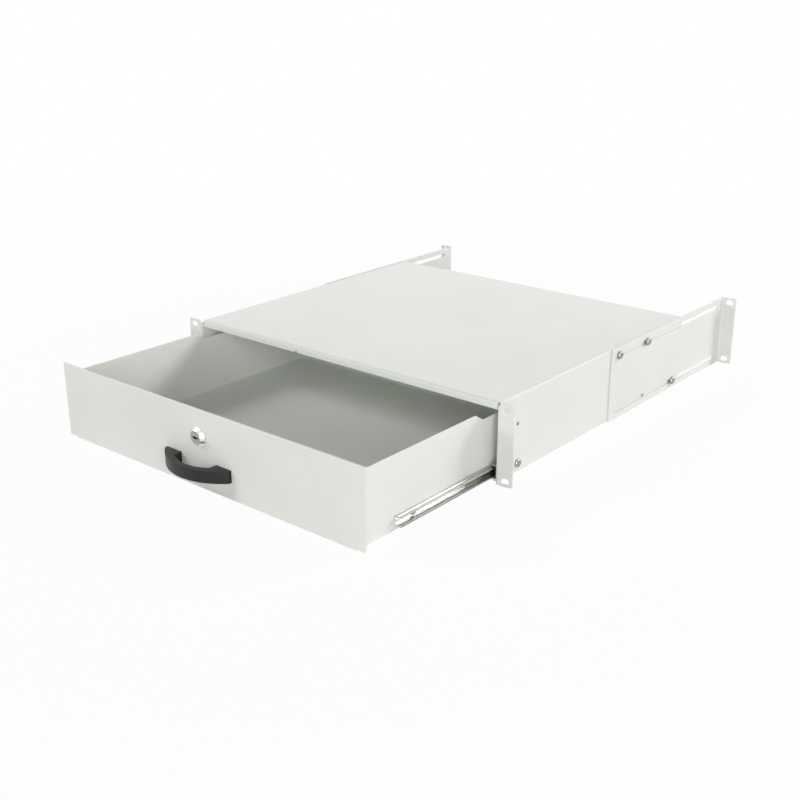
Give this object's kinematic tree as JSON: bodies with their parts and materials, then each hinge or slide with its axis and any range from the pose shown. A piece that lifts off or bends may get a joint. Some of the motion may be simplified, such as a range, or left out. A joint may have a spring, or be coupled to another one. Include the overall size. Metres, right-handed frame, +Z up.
{
  "type": "sliding rack drawer",
  "caption": "Low sheet-steel rack drawer on ball-bearing slides in an open housing, with rack ears, cam lock, black bow handle and slotted rear brackets that adjust to the rack's depth.",
  "frame": {"origin": "centre of the four front mounting slots, on the back faces of the front ears", "axes": "+X to the right seen from the front, +Y into the rack, +Z up"},
  "size_m": [0.4826, 0.7283, 0.0882],
  "materials": {
    "grey_powder_coat": "semi-matt light grey powder coat on steel sheet",
    "zinc_steel": "bright zinc-plated rolled steel",
    "screw_steel": "bright zinc-plated steel fasteners",
    "ball_steel": "polished hardened steel",
    "black_plastic": "moulded black acetal",
    "handle_plastic": "satin black moulded nylon",
    "insert_brass": "turned brass",
    "lock_chrome": "polished chrome plating on zinc die casting"
  },
  "bodies": {
    "housing": {"housing_shell": "grey_powder_coat", "slide_outer_left": "zinc_steel", "slide_outer_right": "zinc_steel", "slide_stop_left": "black_plastic", "slide_stop_right": "black_plastic", "slide_pan_screws": "screw_steel", "slide_flush_screws": "screw_steel", "bracket_screws_left": "screw_steel", "bracket_screws_right": "screw_steel", "bracket_washers_left": "screw_steel", "bracket_washers_right": "screw_steel", "clinch_nuts_left": "screw_steel", "clinch_nuts_right": "screw_steel"},
    "drawer": {"drawer_tray": "grey_powder_coat", "handle": "handle_plastic", "handle_inserts": "insert_brass", "handle_screws": "screw_steel", "lock_housing": "lock_chrome", "lock_nut": "zinc_steel", "slide_inner_left": "zinc_steel", "slide_inner_right": "zinc_steel", "rail_screws_left": "screw_steel", "rail_screws_right": "screw_steel"},
    "lock": {"lock_plug": "lock_chrome", "lock_cam": "zinc_steel", "cam_screw": "screw_steel"},
    "cage_left": {"ball_cage_left": "zinc_steel", "slide_balls_left": "ball_steel"},
    "cage_right": {"ball_cage_right": "zinc_steel", "slide_balls_right": "ball_steel"},
    "bracket_left": {"rear_bracket_left": "grey_powder_coat"},
    "bracket_right": {"rear_bracket_right": "grey_powder_coat"}
  },
  "joints": [
    {"name": "drawer_slide", "type": "slide", "parent": "housing", "child": "drawer", "axis": [0, -1, 0], "range_m": [-0.1983, 0.0517]},
    {"name": "ball_cage_left_slide", "type": "slide", "parent": "housing", "child": "cage_left", "axis": [0, -1, 0], "range_m": [-0.09915, 0.02585]},
    {"name": "ball_cage_right_slide", "type": "slide", "parent": "housing", "child": "cage_right", "axis": [0, -1, 0], "range_m": [-0.09915, 0.02585]},
    {"name": "lock_turn", "type": "hinge", "parent": "drawer", "child": "lock", "pos_m": [0, -0.1998, 0.013], "axis": [0, 1, 0], "range_deg": [0, 90]},
    {"name": "rear_bracket_left_slide", "type": "slide", "parent": "housing", "child": "bracket_left", "axis": [0, 1, 0], "range_m": [-0.1129, 0.001]},
    {"name": "rear_bracket_right_slide", "type": "slide", "parent": "housing", "child": "bracket_right", "axis": [0, 1, 0], "range_m": [-0.1129, 0.001]}
  ],
  "couplings": [
    {"joint": "ball_cage_left_slide", "follows": "drawer_slide", "ratio": 0.5},
    {"joint": "ball_cage_right_slide", "follows": "drawer_slide", "ratio": 0.5}
  ]
}
